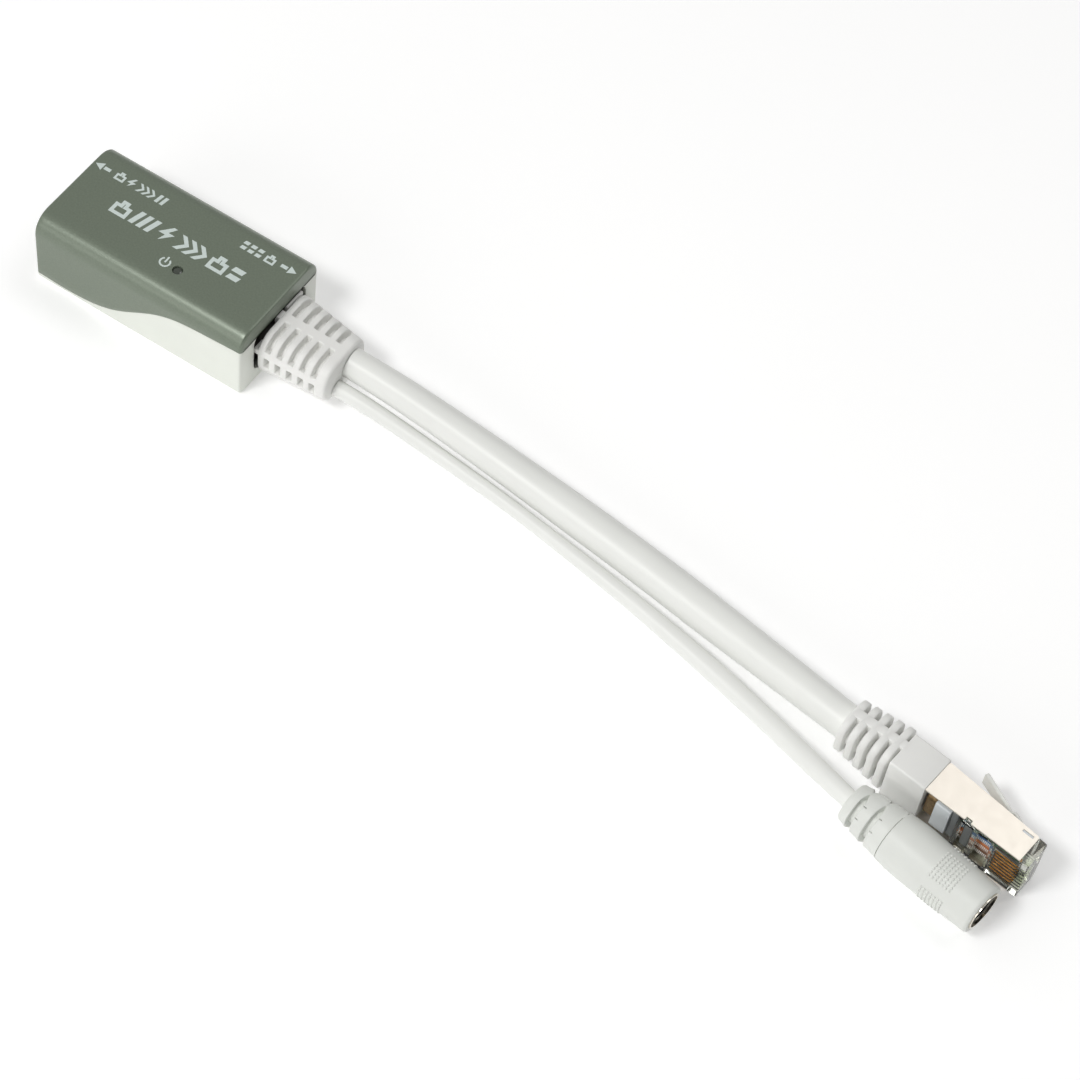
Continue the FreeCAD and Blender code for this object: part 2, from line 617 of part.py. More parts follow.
def main():
    top, bottom = make_case()
    write(top, "top_cover")
    write(bottom, "bottom_case")
    write(make_board(), "circuit_board")
    write(make_jack_shield(), "jack_shield")
    write(make_jack_housing(), "jack_housing")
    write(make_jack_contacts(), "jack_contacts")
    write(make_jack_pins(), "jack_pins")
    write(make_magnetics(), "magnetics_module")
    write(make_magnetics_pins(), "magnetics_pins")
    write(make_capacitor(), "filter_capacitor")
    write(make_choke(), "choke_core")
    write(make_choke_winding(), "choke_winding")
    diodes, fuse_body, led = make_small_parts()
    write(diodes, "surge_diodes")
    write(fuse_body, "input_fuse")
    write(led, "status_led")
    write(make_lens(), "status_lens")
    data_wires, power_wires = make_board_wires()
    write(data_wires, "board_data_wires")
    write(power_wires, "board_power_wires")
    write(make_strain_relief(), "strain_relief")
    write(tube(DATA_ROUTE, DATA_LEAD_D, "data_lead"), "data_lead")
    write(tube(POWER_ROUTE, POWER_LEAD_D, "power_lead"), "power_lead")
    plug = {
        "plug_boot": make_plug_boot(),
        "plug_shield": make_plug_shield(),
        "plug_body": make_plug_body(),
        "plug_contacts": make_plug_contacts(),
        "plug_wires": make_plug_wires(),
        "plug_wire_guide": make_plug_guide(),
        "plug_latch": make_plug_latch(),
    }
    for name, shape in plug.items():
        write(place(shape, PLUG_AT, PLUG_YAW), name)
    barrel, insulator, pin, spring, tabs = make_socket_inside()
    socket = {
        "socket_body": make_socket_body(),
        "socket_barrel": barrel,
        "socket_insulator": insulator,
        "socket_centre_pin": pin,
        "socket_spring": spring,
        "socket_terminals": tabs,
    }
    for name, shape in socket.items():
        write(place(shape, SOCKET_AT, SOCKET_YAW), name)


main()
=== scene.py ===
import math

import bmesh
import bpy
import numpy as np
from mathutils import Matrix, Vector


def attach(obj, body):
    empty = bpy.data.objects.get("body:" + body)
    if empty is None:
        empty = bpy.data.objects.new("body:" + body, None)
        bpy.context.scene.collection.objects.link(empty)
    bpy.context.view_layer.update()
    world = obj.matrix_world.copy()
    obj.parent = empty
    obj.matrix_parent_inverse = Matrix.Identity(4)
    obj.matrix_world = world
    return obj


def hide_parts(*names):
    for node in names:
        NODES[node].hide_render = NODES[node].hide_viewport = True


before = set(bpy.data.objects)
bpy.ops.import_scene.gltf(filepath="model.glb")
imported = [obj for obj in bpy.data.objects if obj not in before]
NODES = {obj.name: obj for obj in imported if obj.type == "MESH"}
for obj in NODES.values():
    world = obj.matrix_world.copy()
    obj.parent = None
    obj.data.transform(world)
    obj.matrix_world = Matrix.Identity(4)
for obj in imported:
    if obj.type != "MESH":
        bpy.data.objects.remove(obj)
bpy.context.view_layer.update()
MM = 0.001
ROOT = "injector"

# ---------------------------------------------------------------- dimensions, mm
CASE_L, CASE_W, CASE_H = 50.8, 26.3, 17.3
SEAM = [
    (-26.0, 1.5), (-12.5, 1.55), (-9.5, 2.2), (-4.5, 4.3), (0.5, 7.5),
    (5.5, 10.4), (10.5, 12.0), (15.5, 12.6), (20.5, 13.0), (26.0, 13.4),
]
LIGHT_AT = (4.9, -6.0)
CASE_ROUND, FOOT_ROUND, CASE_WALL, SEAM_GAP = 4.0, 0.8, 1.25, 0.06
BOOT_NEAR = (-8.3, 9.2, 2.8, 12.8)
BOOT_FAR = (-7.8, 6.6, 2.6, 12.6)
BOOT_X0, BOOT_X1 = 26.0, 41.8
PLUG_AT, PLUG_YAW = (183.93, -14.73, 6.3), -7.65
SOCKET_AT, SOCKET_YAW = (172.6, -25.05, 5.75), -10.4
DATA_ROUTE = [
    (41.8, 1.7, 8.0), (50.1, 1.8, 7.6), (62.1, 1.8, 6.3), (77.1, 1.4, 4.7), (95.1, 0, 3.8),
    (114.1, -2.2, 3.7), (133.1, -5.2, 4.0), (148.1, -8, 5.0), (157.6, -10, 6.0),
    (164.2, -11.2, 6.3),
]
POWER_ROUTE = [
    (41.8, -3.4, 5.2), (48.1, -3.2, 4.8), (57.1, -3.1, 3.6), (68.1, -3.4, 2.4), (82.1, -4.5, 1.95),
    (98.1, -6.7, 1.85), (116.1, -9.5, 1.85), (134.1, -13.1, 1.9), (148.1, -16.8, 2.5),
    (157.1, -19.7, 3.5), (166.1, -23, 5.0), (172.6, -25.05, 5.75),
]


# ---------------------------------------------------------------- small tools
def link(obj):
    bpy.context.scene.collection.objects.link(obj)
    return obj


def make_object(name, mesh, material=None, sharp=35.0):
    """An object around a mesh, smooth except at edges sharper than an angle."""
    obj = link(bpy.data.objects.new(name, mesh))
    if material is not None:
        mesh.materials.clear()
        mesh.materials.append(material)
    for face in mesh.polygons:
        face.use_smooth = True
    mesh.set_sharp_from_angle(angle=math.radians(sharp))
    return obj


def mesh_from(bm, name, scale=MM):
    """The finished mesh of a bmesh modelled in mm."""
    bmesh.ops.recalc_face_normals(bm, faces=bm.faces[:])
    mesh = bpy.data.meshes.new(name)
    bm.to_mesh(mesh)
    bm.free()
    mesh.transform(Matrix.Scale(scale, 4))
    mesh.update()
    return mesh


def applied(obj, sharp=35.0):
    """Bakes the modifiers of an object into its mesh."""
    bpy.context.view_layer.update()
    graph = bpy.context.evaluated_depsgraph_get()
    mesh = bpy.data.meshes.new_from_object(obj.evaluated_get(graph))
    old = obj.data
    obj.modifiers.clear()
    obj.data = mesh
    bpy.data.meshes.remove(old)
    for face in mesh.polygons:
        face.use_smooth = True
    mesh.set_sharp_from_angle(angle=math.radians(sharp))
    return obj


def ring_faces(bm, a, b, closed=True):
    count = len(a)
    last = count if closed else count - 1
    for i in range(last):
        j = (i + 1) % count
        bm.faces.new((a[i], a[j], b[j], b[i]))


def loft(bm, rings, caps=True):
    """Skins a list of rings of points and closes both ends."""
    made = [[bm.verts.new(p) for p in ring] for ring in rings]
    for a, b in zip(made, made[1:]):
        ring_faces(bm, a, b)
    if caps:
        bm.faces.new(list(reversed(made[0])))
        bm.faces.new(made[-1])
    return made


def rounded_rect(a0, a1, b0, b1, radius, steps=7):
    """Corner points of a rounded rectangle, as pairs."""
    radius = min(radius, (a1 - a0) / 2 - 1e-4, (b1 - b0) / 2 - 1e-4)
    centres = [(a1 - radius, b1 - radius, 0), (a0 + radius, b1 - radius, 90),
               (a0 + radius, b0 + radius, 180), (a1 - radius, b0 + radius, 270)]
    out = []
    for ca, cb, start in centres:
        for i in range(steps + 1):
            turn = math.radians(start + 90.0 * i / steps)
            out.append((ca + radius * math.cos(turn), cb + radius * math.sin(turn)))
    return out


def slab_x(bm, x0, x1, y0, y1, z0, z1, radius, edge=0.15):
    """A rounded bar along x with softened end edges."""
    rings = []
    for x, inset in ((x0, edge), (x0 + 0.3 * edge, 0.3 * edge), (x0 + edge, 0.0),
                     (x1 - edge, 0.0), (x1 - 0.3 * edge, 0.3 * edge), (x1, edge)):
        pairs = rounded_rect(y0 + inset, y1 - inset, z0 + inset, z1 - inset, max(radius - inset, 0.05))
        rings.append([(x, y, z) for y, z in pairs])
    loft(bm, rings)


def slab_z(bm, x0, x1, y0, y1, z0, z1, radius, edge=0.15):
    """A rounded upright bar with softened top and foot."""
    rings = []
    for z, inset in ((z0, edge), (z0 + 0.3 * edge, 0.3 * edge), (z0 + edge, 0.0),
                     (z1 - edge, 0.0), (z1 - 0.3 * edge, 0.3 * edge), (z1, edge)):
        pairs = rounded_rect(x0 + inset, x1 - inset, y0 + inset, y1 - inset, max(radius - inset, 0.05))
        rings.append([(x, y, z) for x, y in pairs])
    loft(bm, rings)


def turned(bm, outline, segments=64, axis="x", centre=(0.0, 0.0)):
    """Spins (distance along axis, radius) pairs into a closed body."""
    rings = []
    for along, radius in outline:
        ring = []
        for i in range(segments):
            turn = 2 * math.pi * i / segments
            a = centre[0] + radius * math.cos(turn)
            b = centre[1] + radius * math.sin(turn)
            ring.append((along, a, b) if axis == "x" else (a, b, along))
        rings.append(ring)
    loft(bm, rings)


def placed(at, yaw):
    return Matrix.Translation(Vector(at) * MM) @ Matrix.Rotation(math.radians(yaw), 4, "Z")


PLUG_FRAME = placed(PLUG_AT, PLUG_YAW)
SOCKET_FRAME = placed(SOCKET_AT, SOCKET_YAW)


def piece(obj, replaces=(), body=ROOT):
    """Finishes a piece: bakes its placement, puts it under its body's empty and hides the nodes it stands in
    for.
    """
    obj.data.transform(obj.matrix_world)
    obj.matrix_world = Matrix.Identity(4)
    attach(obj, body)
    if replaces:
        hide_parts(*replaces)
    return obj


# ---------------------------------------------------------------- materials
def srgb(r, g, b):
    out = []
    for value in (r, g, b):
        c = value / 255.0
        out.append(c / 12.92 if c <= 0.04045 else ((c + 0.055) / 1.055) ** 2.4)
    return (*out, 1.0)


def material(name, colour, rough=0.4, metallic=0.0, shade=0.03, shade_scale=220.0, rough_spread=0.06,
             bump=0.12, bump_scale=2600.0, bump_depth=0.00004, **extra):
    """Principled finish with broad tone variation, uneven gloss and a fine surface grain."""
    mat = bpy.data.materials.new(name)
    mat.use_nodes = True
    tree = mat.node_tree
    shader = tree.nodes["Principled BSDF"]
    place = tree.nodes.new("ShaderNodeTexCoord")
    broad = tree.nodes.new("ShaderNodeTexNoise")
    broad.inputs["Scale"].default_value = shade_scale
    broad.inputs["Detail"].default_value = 4.0
    tree.links.new(place.outputs["Object"], broad.inputs["Vector"])
    ramp = tree.nodes.new("ShaderNodeValToRGB")
    dark = [c * (1.0 - shade) for c in colour[:3]]
    light = [min(c * (1.0 + shade), 1.0) for c in colour[:3]]
    ramp.color_ramp.elements[0].position = 0.3
    ramp.color_ramp.elements[0].color = (*dark, 1.0)
    ramp.color_ramp.elements[1].position = 0.7
    ramp.color_ramp.elements[1].color = (*light, 1.0)
    tree.links.new(broad.outputs["Fac"], ramp.inputs["Fac"])
    tree.links.new(ramp.outputs["Color"], shader.inputs["Base Color"])
    spread = tree.nodes.new("ShaderNodeMapRange")
    spread.inputs["To Min"].default_value = max(rough - rough_spread, 0.02)
    spread.inputs["To Max"].default_value = min(rough + rough_spread, 1.0)
    tree.links.new(broad.outputs["Fac"], spread.inputs["Value"])
    tree.links.new(spread.outputs["Result"], shader.inputs["Roughness"])
    grain = tree.nodes.new("ShaderNodeTexNoise")
    grain.inputs["Scale"].default_value = bump_scale
    grain.inputs["Detail"].default_value = 3.0
    tree.links.new(place.outputs["Object"], grain.inputs["Vector"])
    relief = tree.nodes.new("ShaderNodeBump")
    relief.inputs["Strength"].default_value = bump
    relief.inputs["Distance"].default_value = bump_depth
    tree.links.new(grain.outputs["Fac"], relief.inputs["Height"])
    tree.links.new(relief.outputs["Normal"], shader.inputs["Normal"])
    shader.inputs["Metallic"].default_value = metallic
    for socket, value in extra.items():
        shader.inputs[socket.replace("_", " ")].default_value = value
    return mat


def striped(name, stripe, ground, turns=900.0):
    """Wire insulation in a light colour with a helical tracer."""
    mat = material(name, ground, rough=0.35)
    tree = mat.node_tree
    shader = tree.nodes["Principled BSDF"]
    wave = tree.nodes.new("ShaderNodeTexWave")
    wave.inputs["Scale"].default_value = turns
    wave.inputs["Distortion"].default_value = 0.4
    place = tree.nodes["Texture Coordinate"]
    tree.links.new(place.outputs["Object"], wave.inputs["Vector"])
    ramp = tree.nodes.new("ShaderNodeValToRGB")
    ramp.color_ramp.interpolation = "CONSTANT"
    ramp.color_ramp.elements[0].color = ground
    ramp.color_ramp.elements[1].position = 0.68
    ramp.color_ramp.elements[1].color = stripe
    tree.links.new(wave.outputs["Fac"], ramp.inputs["Fac"])
    tree.links.new(ramp.outputs["Color"], shader.inputs["Base Color"])
    return mat


GREY = material("cover_paint_fine", srgb(114, 124, 109), rough=0.34, metallic=0.25, shade=0.08,
                shade_scale=2600.0, rough_spread=0.06, bump=0.35, bump_scale=3600.0, bump_depth=0.00006,
                Coat_Weight=0.1, Coat_Roughness=0.25)
CASE_WHITE = material("case_white_fine", srgb(226, 229, 221), rough=0.36, shade=0.012, bump=0.12,
                      bump_scale=3200.0)
BOOT_WHITE = material("boot_soft", srgb(232, 232, 229), rough=0.5, shade=0.012, bump=0.15, bump_scale=1800.0,
                      Subsurface_Weight=0.08, Subsurface_Scale=0.0006, Subsurface_Radius=(1.0, 1.0, 1.0))
LEAD_WHITE = material("lead_sheath", srgb(232, 233, 229), rough=0.4, shade=0.015, shade_scale=90.0, bump=0.1,
                      bump_scale=900.0)
PRINT = material("print_ink", srgb(205, 216, 212), rough=0.45, shade=0.03, shade_scale=1800.0, bump=0.2,
                 bump_scale=5000.0)
LENS_DARK = material("lens_dark", srgb(62, 68, 60), rough=0.12, shade=0.1, shade_scale=900.0, bump=0.05,
                     Coat_Weight=0.6, Coat_Roughness=0.08)
CLEAR = material("clear_plastic_fine", srgb(238, 240, 232), rough=0.03, shade=0.01, rough_spread=0.02,
                 bump=0.05, bump_scale=700.0, Transmission_Weight=1.0, IOR=1.4)
FROST = material("clear_plastic_frost", srgb(252, 253, 249), rough=0.2, shade=0.02, rough_spread=0.06,
                 bump=0.15, bump_scale=900.0, Transmission_Weight=0.25, IOR=1.45)
BRAID = material("braid_foil", srgb(128, 106, 74), rough=0.4, metallic=0.7, shade=0.35, shade_scale=2400.0,
                 bump=0.5, bump_scale=3000.0)
SOCKET_WHITE = material("socket_soft", srgb(219, 221, 216), rough=0.46, shade=0.015, bump=0.15,
                        bump_scale=1800.0)
PLUG_METAL = material("plug_tin", srgb(240, 233, 222), rough=0.4, metallic=0.75, shade=0.02,
                      shade_scale=500.0, rough_spread=0.08, bump=0.12, bump_scale=1500.0)
JACK_METAL = material("jack_tin", srgb(205, 205, 200), rough=0.26, metallic=1.0, shade=0.03,
                      rough_spread=0.08)
GOLD = material("gold_fine", srgb(238, 172, 90), rough=0.32, metallic=0.4, shade=0.05, shade_scale=900.0)
NICKEL = material("nickel_fine", srgb(232, 226, 212), rough=0.12, metallic=1.0, shade=0.03, rough_spread=0.05)
BLACK = material("black_plastic_fine", srgb(26, 25, 24), rough=0.42, shade=0.1, bump=0.2)
# painted shade: dark grey for the neck and flange inside the case opening, standing in for the shade in the
# gap behind the rim
NECK_PAINTED_SHADE = material("neck_painted_shade", srgb(62, 60, 56), rough=0.6, shade=0.05)
GUIDE_WHITE = material("guide_white", srgb(214, 219, 222), rough=0.38, shade=0.02)
GUIDE_GREY = material("guide_grey", srgb(120, 124, 124), rough=0.35, shade=0.04, Transmission_Weight=0.15)
BOARD = material("board_mask", srgb(24, 96, 58), rough=0.3, shade=0.12, shade_scale=400.0, Coat_Weight=0.5)
SOLDER = material("solder_fine", srgb(200, 200, 198), rough=0.3, metallic=1.0, shade=0.05)
FERRITE = material("ferrite_fine", srgb(48, 48, 50), rough=0.6, shade=0.12, bump=0.3)
COPPER = material("copper_fine", srgb(190, 104, 58), rough=0.28, metallic=0.9, shade=0.08, shade_scale=1200.0)
CAN = material("can_sleeve", srgb(150, 154, 160), rough=0.3, metallic=0.8, shade=0.05)
LAMP = material("lamp_clear", srgb(236, 240, 228), rough=0.18, shade=0.02, Transmission_Weight=0.6)


# ---------------------------------------------------------------- camera, light and floor
def studio():
    azimuth, elevation, roll = (math.radians(a) for a in (25.43, 55.76, 8.94))
    back = Vector((math.sin(azimuth) * math.cos(elevation), -math.cos(azimuth) * math.cos(elevation),
                   math.sin(elevation)))
    right = Vector((math.cos(azimuth), math.sin(azimuth), 0.0))
    up = back.cross(right)
    turned_right = right * math.cos(roll) + up * math.sin(roll)
    turned_up = up * math.cos(roll) - right * math.sin(roll)
    spot = Vector((0.09284, -0.00686, 0.0)) + back * 0.600
    data = bpy.data.cameras.new("camera")
    data.sensor_width = 36.0
    data.lens = 102.43
    data.clip_start = 0.01
    data.clip_end = 20.0
    camera = link(bpy.data.objects.new("camera", data))
    turn = Matrix((turned_right, turned_up, back)).transposed()
    camera.matrix_world = Matrix.Translation(spot) @ turn.to_4x4()
    bpy.context.scene.camera = camera
    bpy.context.scene.view_settings.view_transform = "Standard"

    world = bpy.data.worlds.new("studio")
    world.use_nodes = True
    tree = world.node_tree
    sky = tree.nodes["Background"]
    sky.inputs["Color"].default_value = (1.0, 0.995, 0.98, 1.0)
    place = tree.nodes.new("ShaderNodeTexCoord")
    split = tree.nodes.new("ShaderNodeSeparateXYZ")
    fade = tree.nodes.new("ShaderNodeMapRange")
    fade.inputs["From Min"].default_value = -1.0
    fade.inputs["To Min"].default_value = 0.52
    fade.inputs["To Max"].default_value = 0.16
    tree.links.new(place.outputs["Generated"], split.inputs["Vector"])
    tree.links.new(split.outputs["X"], fade.inputs["Value"])
    tree.links.new(fade.outputs["Result"], sky.inputs["Strength"])
    bpy.context.scene.world = world

    def soft_box(name, at, aim, size, power, tint=(1.0, 1.0, 1.0)):
        lamp = bpy.data.lights.new(name, "AREA")
        lamp.shape = "RECTANGLE"
        lamp.size, lamp.size_y = size
        lamp.energy = power
        lamp.color = tint
        obj = link(bpy.data.objects.new(name, lamp))
        way = (Vector(at) - Vector(aim)).to_track_quat("Z", "Y")
        obj.matrix_world = Matrix.Translation(Vector(at)) @ way.to_matrix().to_4x4()

    aim = (0.09, -0.01, 0.0)
    soft_box("key", (-0.16, -0.55, 0.86), aim, (0.30, 0.20), 4.4)
    soft_box("side", (-0.20, -1.05, 0.42), aim, (0.9, 0.5), 2.5)
    soft_box("top", (0.35, 0.50, 1.00), aim, (0.8, 0.5), 2.4)

    bm = bmesh.new()
    bmesh.ops.create_grid(bm, x_segments=4, y_segments=4, size=1.5)
    paper = material("floor_paper", (0.93, 0.93, 0.93, 1.0), rough=0.9, shade=0.004, shade_scale=6.0,
                     bump=0.02, bump_scale=60.0, Emission_Color=(1.0, 1.0, 1.0, 1.0), Emission_Strength=0.22)
    floor = make_object("floor", mesh_from(bm, "floor", 1.0), paper)
    floor.location.z = -0.0002


studio()


# ---------------------------------------------------------------- leads
def spline_points(name, route):
    """The route as one NURBS spline, read back as points."""
    curve = bpy.data.curves.new(name, "CURVE")
    curve.dimensions = "3D"
    curve.resolution_u = 20
    spline = curve.splines.new("NURBS")
    spline.points.add(len(route) - 1)
    for point, at in zip(spline.points, route):
        point.co = (at[0] * MM, at[1] * MM, at[2] * MM, 1.0)
    spline.order_u = 3
    spline.use_endpoint_u = True
    obj = link(bpy.data.objects.new(name, curve))
    bpy.context.view_layer.update()
    mesh = bpy.data.meshes.new_from_object(obj.evaluated_get(bpy.context.evaluated_depsgraph_get()))
    points = [v.co.copy() for v in mesh.vertices]
    bpy.data.objects.remove(obj)
    bpy.data.meshes.remove(mesh)
    return points


def oval_tube(name, points, widths, thickness, tilt, segments=44):
    """A soft sheath swept along the points, whose width changes along its length."""
    steps = [0.0]
    for a, b in zip(points, points[1:]):
        steps.append(steps[-1] + (b - a).length)
    total = steps[-1]
    bm = bmesh.new()
    rings = []
    for i, point in enumerate(points):
        ahead = points[min(i + 1, len(points) - 1)]
        behind = points[max(i - 1, 0)]
        way = (ahead - behind).normalized()
        side = Vector((0, 0, 1)).cross(way).normalized()
        top = way.cross(side)
        lean = math.radians(tilt)
        wide = side * math.cos(lean) + top * math.sin(lean)
        thin = top * math.cos(lean) - side * math.sin(lean)
        share = steps[i] / total
        half = np.interp(share, [w[0] for w in widths], [w[1] for w in widths]) * 0.5 * MM
        slim = thickness * 0.5 * MM
        ring = []
        for k in range(segments):
            turn = 2 * math.pi * k / segments
            ring.append(point + wide * (half * math.cos(turn)) + thin * (slim * math.sin(turn)))
        rings.append(ring)
    loft(bm, rings)
    return mesh_from(bm, name, 1.0)


def leads():
    data_points = spline_points("data_route", DATA_ROUTE)
    power_points = spline_points("power_route", POWER_ROUTE)
    data_widths = [(0.0, 6.5), (0.2, 7.1), (0.45, 8.0), (0.7, 8.2), (0.88, 7.6), (1.0, 7.2)]
    power_widths = [(0.0, 3.5), (0.2, 3.2), (0.36, 3.0), (0.55, 3.6), (0.7, 4.3), (0.92, 4.2), (1.0, 3.8)]
    data = make_object("data_sheath", oval_tube("data_sheath", data_points, data_widths, 6.5, 18.0),
                       LEAD_WHITE)
    power = make_object("power_sheath", oval_tube("power_sheath", power_points, power_widths, 3.3, 18.0),
                        LEAD_WHITE)
    piece(data, ["data_lead"])
    piece(power, ["power_lead"])
    return data, data_points, power, power_points


DATA_SHEATH, DATA_POINTS, POWER_SHEATH, POWER_POINTS = leads()


# ---------------------------------------------------------------- case
def seam_curve():
    """Second derivatives of the natural cubic through the seam points."""
    xs = np.array([p[0] for p in SEAM])
    zs = np.array([p[1] for p in SEAM])
    count = len(xs)
    gaps = np.diff(xs)
    grid = np.eye(count)
    load = np.zeros(count)
    for i in range(1, count - 1):
        grid[i, i - 1:i + 2] = (gaps[i - 1], 2 * (gaps[i - 1] + gaps[i]), gaps[i])
        load[i] = 6 * ((zs[i + 1] - zs[i]) / gaps[i] - (zs[i] - zs[i - 1]) / gaps[i - 1])
    return xs, zs, gaps, np.linalg.solve(grid, load)


SEAM_FIT = seam_curve()


def seam_z(x):
    xs, zs, gaps, bend = SEAM_FIT
    i = int(np.clip(np.searchsorted(xs, x) - 1, 0, len(gaps) - 1))
    g = gaps[i]
    a = (xs[i + 1] - x) / g
    b = (x - xs[i]) / g
    return (a * zs[i] + b * zs[i + 1]
            + ((a ** 3 - a) * bend[i] + (b ** 3 - b) * bend[i + 1]) * g * g / 6.0)


def case_stations():
    """Positions along the case with the inset of its rounded ends."""
    reach_x, reach_y, reach_z = 0.55, 0.9, 0.3
    half = CASE_L / 2.0
    out = []
    for i in range(7):
        turn = math.pi / 2 * (1 - i / 6.0)
        out.append((-half + reach_x * (1 - math.sin(turn)), reach_y * (1 - math.cos(turn)),
                    reach_z * (1 - math.cos(turn))))
    for x in np.linspace(-half + reach_x, half - reach_x, 66)[1:-1]:
        out.append((float(x), 0.0, 0.0))
    for x, y, z in list(reversed(out[:7])):
        out.append((-x, y, z))
    return out


def half_section(x, in_y, in_z, top, wall=0.0):
    """One side of the case's section, from the seam to the middle line."""
    half = CASE_W / 2.0 - in_y - wall
    out = []
    if top:
        radius = max(CASE_ROUND - wall, 0.5)
        peak = CASE_H - in_z - wall
        start = seam_z(x) + SEAM_GAP
        for i in range(8):
            out.append((half, start + (peak - radius - start) * i / 8.0))
        for i in range(15):
            turn = math.pi / 2 * i / 14.0
            out.append((half - radius + radius * math.cos(turn), peak - radius + radius * math.sin(turn)))
        for i in range(1, 5):
            out.append(((half - radius) * (1 - i / 4.0), peak))
    else:
        radius = max(FOOT_ROUND - wall, 0.25)
        low = in_z + min(wall, 1.2)
        start = seam_z(x) - SEAM_GAP
        for i in range(6):
            out.append((half, start + (low + radius - start) * i / 6.0))
        for i in range(6):
            turn = math.pi / 2 * i / 5.0
            out.append((half - radius + radius * math.cos(turn), low + radius - radius * math.sin(turn)))
        for i in range(1, 5):
            out.append(((half - radius) * (1 - i / 4.0), low))
    return out


def skin_rows(bm, top, wall):
    rows = []
    shrink = (CASE_L / 2.0 - wall) / (CASE_L / 2.0)
    for x, in_y, in_z in case_stations():
        ease = 0.4 if wall else 1.0
        half = half_section(x, in_y * ease, in_z * ease, top, wall)
        line = half + [(-y, z) for y, z in reversed(half[:-1])]
        rows.append([bm.verts.new((x * shrink, y, z)) for y, z in line])
    for a, b in zip(rows, rows[1:]):
        ring_faces(bm, a, b, closed=False)
    bm.faces.new(rows[0])
    bm.faces.new(rows[-1])
    return rows


def case_shell(name, top, mat, cutters):
    """One half of the case as an outer and an inner skin joined along the seam, then cut and softened."""
    bm = bmesh.new()
    outer = skin_rows(bm, top, 0.0)
    inner = skin_rows(bm, top, CASE_WALL)
    loop_out = [row[0] for row in outer] + [row[-1] for row in reversed(outer)]
    loop_in = [row[0] for row in inner] + [row[-1] for row in reversed(inner)]
    ring_faces(bm, loop_out, loop_in)
    obj = make_object(name, mesh_from(bm, name, 1.0), mat)
    for cutter in cutters:
        cut = obj.modifiers.new("cut", "BOOLEAN")
        cut.object = cutter
        cut.operation = "DIFFERENCE"
        cut.solver = "EXACT"
    soft = obj.modifiers.new("edge", "BEVEL")
    soft.width = 0.1
    soft.segments = 2
    soft.limit_method = "ANGLE"
    soft.angle_limit = math.radians(55)
    applied(obj, 40.0)
    obj.data.transform(Matrix.Scale(MM, 4))
    obj.data.materials.clear()
    obj.data.materials.append(mat)
    return obj


def cutter(name, build):
    """A solid used only to cut an opening."""
    bm = bmesh.new()
    build(bm)
    return make_object(name, mesh_from(bm, name, 1.0))


def case():
    y0, y1, z0, z1 = BOOT_NEAR
    lead_hole = cutter("cut_leads", lambda bm: slab_x(
        bm, 20, 30, y0 - 0.35, y1 - 0.15, z0 - 0.2, z1 + 0.9, 2.6))
    port_hole = cutter("cut_port", lambda bm: slab_x(bm, -30, -20, -8.15, 8.15, 4.2, 15.25, 0.4))
    lamp_hole = cutter("cut_lamp", lambda bm: turned(
        bm, [(12, 1.06), (17.05, 1.06), (18.0, 1.3)], 40, "z", LIGHT_AT))
    top = case_shell("cover_skin", True, GREY, [lead_hole, port_hole, lamp_hole])
    bottom = case_shell("case_skin", False, CASE_WHITE, [lead_hole, port_hole])
    for obj in (lead_hole, port_hole, lamp_hole):
        bpy.data.objects.remove(obj)
    piece(top, ["top_cover"])
    piece(bottom, ["bottom_case"])


case()


# ---------------------------------------------------------------- printed marks
def prism(bm, outline, z0, z1):
    low = [bm.verts.new((x, y, z0)) for x, y in outline]
    high = [bm.verts.new((x, y, z1)) for x, y in outline]
    ring_faces(bm, low, high)
    bm.faces.new(list(reversed(low)))
    bm.faces.new(high)


def frame_strip(bm, outer, inner, z0, z1):
    """A flat band between two outlines with the same number of points."""
    rings = [[(x, y, z0) for x, y in outer], [(x, y, z1) for x, y in outer],
             [(x, y, z1) for x, y in inner], [(x, y, z0) for x, y in inner]]
    made = [[bm.verts.new(p) for p in ring] for ring in rings]
    for a, b in zip(made, made[1:] + made[:1]):
        ring_faces(bm, a, b)


